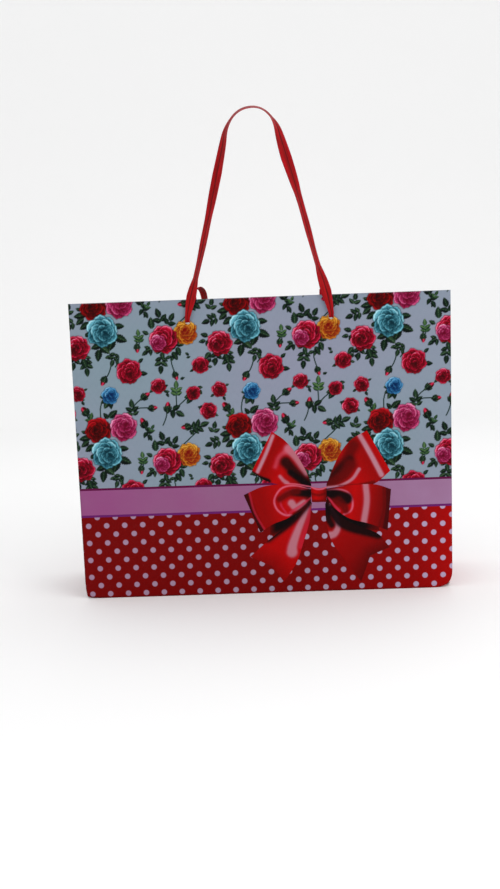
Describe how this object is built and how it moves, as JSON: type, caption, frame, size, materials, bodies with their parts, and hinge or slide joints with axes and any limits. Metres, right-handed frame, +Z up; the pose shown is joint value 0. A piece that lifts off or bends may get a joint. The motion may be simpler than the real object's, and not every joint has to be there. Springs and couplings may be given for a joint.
{
  "type": "gift bag",
  "caption": "Open gusseted paper gift bag with a floral and bow print, a turned-in reinforced rim, a loose base board and two red ribbon handles.",
  "frame": {"origin": "middle of the base, on the surface the bag stands on", "axes": "+Z up, the main printed face looks along -Y, +X to its right"},
  "size_m": [0.42, 0.15, 0.537],
  "materials": {
    "printed_paper": "gloss laminated print, white inside",
    "printed_base": "gloss laminated print",
    "white_paper": "uncoated",
    "grey_card": "matt grey board",
    "red_ribbon": "satin woven ribbon"
  },
  "bodies": {
    "front_wall": {"front_panel": "printed_paper", "front_rim_card": "grey_card", "front_hem": "white_paper", "front_knot_left": "red_ribbon", "front_knot_right": "red_ribbon", "base_flap_front": "printed_base", "base_flap_rear": "printed_base", "base_flap_left": "printed_base", "base_flap_right": "printed_base"},
    "left_gusset_front_leaf": {"left_gusset_front": "printed_paper", "left_gusset_front_hem": "white_paper"},
    "left_gusset_rear_leaf": {"left_gusset_rear": "printed_paper", "left_gusset_rear_hem": "white_paper"},
    "rear_wall": {"rear_panel": "printed_paper", "rear_rim_card": "grey_card", "rear_hem": "white_paper", "side_seam_tab": "white_paper", "rear_knot_left": "red_ribbon", "rear_knot_right": "red_ribbon"},
    "right_gusset_front_leaf": {"right_gusset_front": "printed_paper", "right_gusset_front_hem": "white_paper"},
    "right_gusset_rear_leaf": {"right_gusset_rear": "printed_paper", "right_gusset_rear_hem": "white_paper"},
    "front_handle_loop": {"front_handle": "red_ribbon"},
    "rear_handle_loop": {"rear_handle": "red_ribbon"},
    "base_board": {"base_board": "grey_card"}
  },
  "joints": [
    {"name": "fold_flat", "type": "hinge", "parent": "front_wall", "child": "left_gusset_front_leaf", "pos_m": [-0.20965, -0.05965, 0.1675], "axis": [0, 0, -1], "range_deg": [0, 80], "deforming": ["base_flap_front", "base_flap_rear", "base_flap_left", "base_flap_right", "base_board"]},
    {"name": "left_gusset_crease", "type": "hinge", "parent": "left_gusset_front_leaf", "child": "left_gusset_rear_leaf", "pos_m": [-0.21, 0, 0.1675], "axis": [0, 0, 1], "range_deg": [0, 160]},
    {"name": "rear_left_crease", "type": "hinge", "parent": "left_gusset_rear_leaf", "child": "rear_wall", "pos_m": [-0.20965, 0.05965, 0.1675], "axis": [0, 0, -1], "range_deg": [0, 80]},
    {"name": "front_right_crease", "type": "hinge", "parent": "front_wall", "child": "right_gusset_front_leaf", "pos_m": [0.20965, -0.05965, 0.1675], "axis": [0, 0, 1], "range_deg": [0, 80]},
    {"name": "right_gusset_crease", "type": "hinge", "parent": "right_gusset_front_leaf", "child": "right_gusset_rear_leaf", "pos_m": [0.21, 0, 0.1675], "axis": [0, 0, -1], "range_deg": [0, 160]},
    {"name": "front_handle_swing", "type": "hinge", "parent": "front_wall", "child": "front_handle_loop", "pos_m": [0, -0.0625, 0.311], "axis": [1, 0, 0], "range_deg": [0, 172]},
    {"name": "rear_handle_swing", "type": "hinge", "parent": "rear_wall", "child": "rear_handle_loop", "pos_m": [0, 0.0645, 0.345], "axis": [1, 0, 0], "range_deg": [0, 155]},
    {"name": "base_board_lift", "type": "slide", "parent": "front_wall", "child": "base_board", "axis": [0, 0, 1], "range_m": [0, 0.28]}
  ],
  "couplings": [
    {"joint": "left_gusset_crease", "follows": "fold_flat", "ratio": 2},
    {"joint": "rear_left_crease", "follows": "fold_flat", "ratio": 1},
    {"joint": "front_right_crease", "follows": "fold_flat", "ratio": 1},
    {"joint": "right_gusset_crease", "follows": "fold_flat", "ratio": 2}
  ]
}
